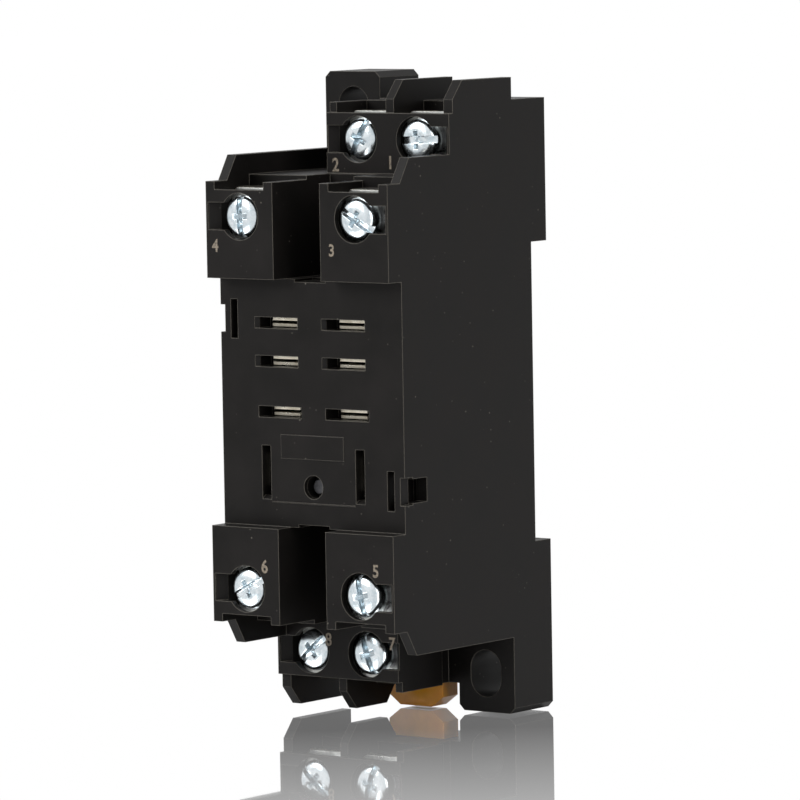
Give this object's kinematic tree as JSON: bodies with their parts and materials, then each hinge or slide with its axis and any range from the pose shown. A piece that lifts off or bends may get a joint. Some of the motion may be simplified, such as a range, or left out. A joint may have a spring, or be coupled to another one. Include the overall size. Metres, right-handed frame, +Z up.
{
  "type": "relay socket",
  "caption": "Black screw-terminal relay socket with stepped terminal tiers at both ends, a flat relay seat with blade slots, slotted ears and an amber rail latch.",
  "frame": {"origin": "middle of the flat face that the relay seats on", "axes": "+X to the right seen from the front, -Y out of the front towards the relay, +Z up along the length"},
  "size_m": [0.0264, 0.031, 0.0756],
  "materials": {
    "housing_plastic": "fine matte",
    "base_plastic": "fine matte",
    "latch_plastic": "satin, slightly translucent",
    "zinc_steel": "bright zinc plating",
    "washer_steel": "zinc plating",
    "spring_steel": "drawn wire",
    "plated_brass": "nickel plating"
  },
  "bodies": {
    "base": {"housing": "housing_plastic", "rear_base": "base_plastic", "base_screw": "zinc_steel", "latch_spring": "spring_steel", "contact_strip_1": "plated_brass", "contact_strip_2": "plated_brass", "contact_strip_3": "plated_brass", "contact_strip_4": "plated_brass", "contact_strip_5": "plated_brass", "contact_strip_6": "plated_brass", "contact_strip_7": "plated_brass", "contact_strip_8": "plated_brass", "contact_clip_1": "plated_brass", "contact_clip_2": "plated_brass", "contact_clip_3": "plated_brass", "contact_clip_4": "plated_brass", "contact_clip_5": "plated_brass", "contact_clip_6": "plated_brass", "contact_clip_7": "plated_brass", "contact_clip_8": "plated_brass"},
    "latch": {"din_latch": "latch_plastic"},
    "washers_1": {"clamp_washer_1": "washer_steel", "lock_washer_1": "spring_steel"},
    "screw_1": {"terminal_screw_1": "zinc_steel"},
    "washers_2": {"clamp_washer_2": "washer_steel", "lock_washer_2": "spring_steel"},
    "screw_2": {"terminal_screw_2": "zinc_steel"},
    "washers_3": {"clamp_washer_3": "washer_steel", "lock_washer_3": "spring_steel"},
    "screw_3": {"terminal_screw_3": "zinc_steel"},
    "washers_4": {"clamp_washer_4": "washer_steel", "lock_washer_4": "spring_steel"},
    "screw_4": {"terminal_screw_4": "zinc_steel"},
    "washers_5": {"clamp_washer_5": "washer_steel", "lock_washer_5": "spring_steel"},
    "screw_5": {"terminal_screw_5": "zinc_steel"},
    "washers_6": {"clamp_washer_6": "washer_steel", "lock_washer_6": "spring_steel"},
    "screw_6": {"terminal_screw_6": "zinc_steel"},
    "washers_7": {"clamp_washer_7": "washer_steel", "lock_washer_7": "spring_steel"},
    "screw_7": {"terminal_screw_7": "zinc_steel"},
    "washers_8": {"clamp_washer_8": "washer_steel", "lock_washer_8": "spring_steel"},
    "screw_8": {"terminal_screw_8": "zinc_steel"}
  },
  "joints": [
    {"name": "latch_slide", "type": "slide", "parent": "base", "child": "latch", "axis": [0, 0, -1], "range_m": [0, 0.003], "stiffness_N_per_m": 900, "springref_m": -0.0015, "deforming": ["latch_spring"]},
    {"name": "clamp_travel_1", "type": "slide", "parent": "base", "child": "washers_1", "axis": [0, -1, 0], "range_m": [0, 0.0015]},
    {"name": "screw_turn_1", "type": "hinge", "parent": "washers_1", "child": "screw_1", "pos_m": [0.00835, 0.00965, 0.0303], "axis": [0, -1, 0], "range_deg": [0, 1080]},
    {"name": "clamp_travel_2", "type": "slide", "parent": "base", "child": "washers_2", "axis": [0, -1, 0], "range_m": [0, 0.0015]},
    {"name": "screw_turn_2", "type": "hinge", "parent": "washers_2", "child": "screw_2", "pos_m": [0, 0.00965, 0.0303], "axis": [0, -1, 0], "range_deg": [0, 1080]},
    {"name": "clamp_travel_3", "type": "slide", "parent": "base", "child": "washers_3", "axis": [0, -1, 0], "range_m": [0, 0.0015]},
    {"name": "screw_turn_3", "type": "hinge", "parent": "washers_3", "child": "screw_3", "pos_m": [0.00835, -0.0024, 0.02175], "axis": [0, -1, 0], "range_deg": [0, 1080]},
    {"name": "clamp_travel_4", "type": "slide", "parent": "base", "child": "washers_4", "axis": [0, -1, 0], "range_m": [0, 0.0015]},
    {"name": "screw_turn_4", "type": "hinge", "parent": "washers_4", "child": "screw_4", "pos_m": [-0.00835, -0.0024, 0.02175], "axis": [0, -1, 0], "range_deg": [0, 1080]},
    {"name": "clamp_travel_5", "type": "slide", "parent": "base", "child": "washers_5", "axis": [0, -1, 0], "range_m": [0, 0.0015]},
    {"name": "screw_turn_5", "type": "hinge", "parent": "washers_5", "child": "screw_5", "pos_m": [0.00835, -0.0024, -0.02175], "axis": [0, -1, 0], "range_deg": [0, 1080]},
    {"name": "clamp_travel_6", "type": "slide", "parent": "base", "child": "washers_6", "axis": [0, -1, 0], "range_m": [0, 0.0015]},
    {"name": "screw_turn_6", "type": "hinge", "parent": "washers_6", "child": "screw_6", "pos_m": [-0.00835, -0.0024, -0.02175], "axis": [0, -1, 0], "range_deg": [0, 1080]},
    {"name": "clamp_travel_7", "type": "slide", "parent": "base", "child": "washers_7", "axis": [0, -1, 0], "range_m": [0, 0.0015]},
    {"name": "screw_turn_7", "type": "hinge", "parent": "washers_7", "child": "screw_7", "pos_m": [0, 0.00965, -0.0303], "axis": [0, -1, 0], "range_deg": [0, 1080]},
    {"name": "clamp_travel_8", "type": "slide", "parent": "base", "child": "washers_8", "axis": [0, -1, 0], "range_m": [0, 0.0015]},
    {"name": "screw_turn_8", "type": "hinge", "parent": "washers_8", "child": "screw_8", "pos_m": [-0.00835, 0.00965, -0.0303], "axis": [0, -1, 0], "range_deg": [0, 1080]}
  ],
  "couplings": [
    {"joint": "screw_turn_1", "follows": "clamp_travel_1", "rad_per_m": 12566},
    {"joint": "screw_turn_2", "follows": "clamp_travel_2", "rad_per_m": 12566},
    {"joint": "screw_turn_3", "follows": "clamp_travel_3", "rad_per_m": 12566},
    {"joint": "screw_turn_4", "follows": "clamp_travel_4", "rad_per_m": 12566},
    {"joint": "screw_turn_5", "follows": "clamp_travel_5", "rad_per_m": 12566},
    {"joint": "screw_turn_6", "follows": "clamp_travel_6", "rad_per_m": 12566},
    {"joint": "screw_turn_7", "follows": "clamp_travel_7", "rad_per_m": 12566},
    {"joint": "screw_turn_8", "follows": "clamp_travel_8", "rad_per_m": 12566}
  ]
}
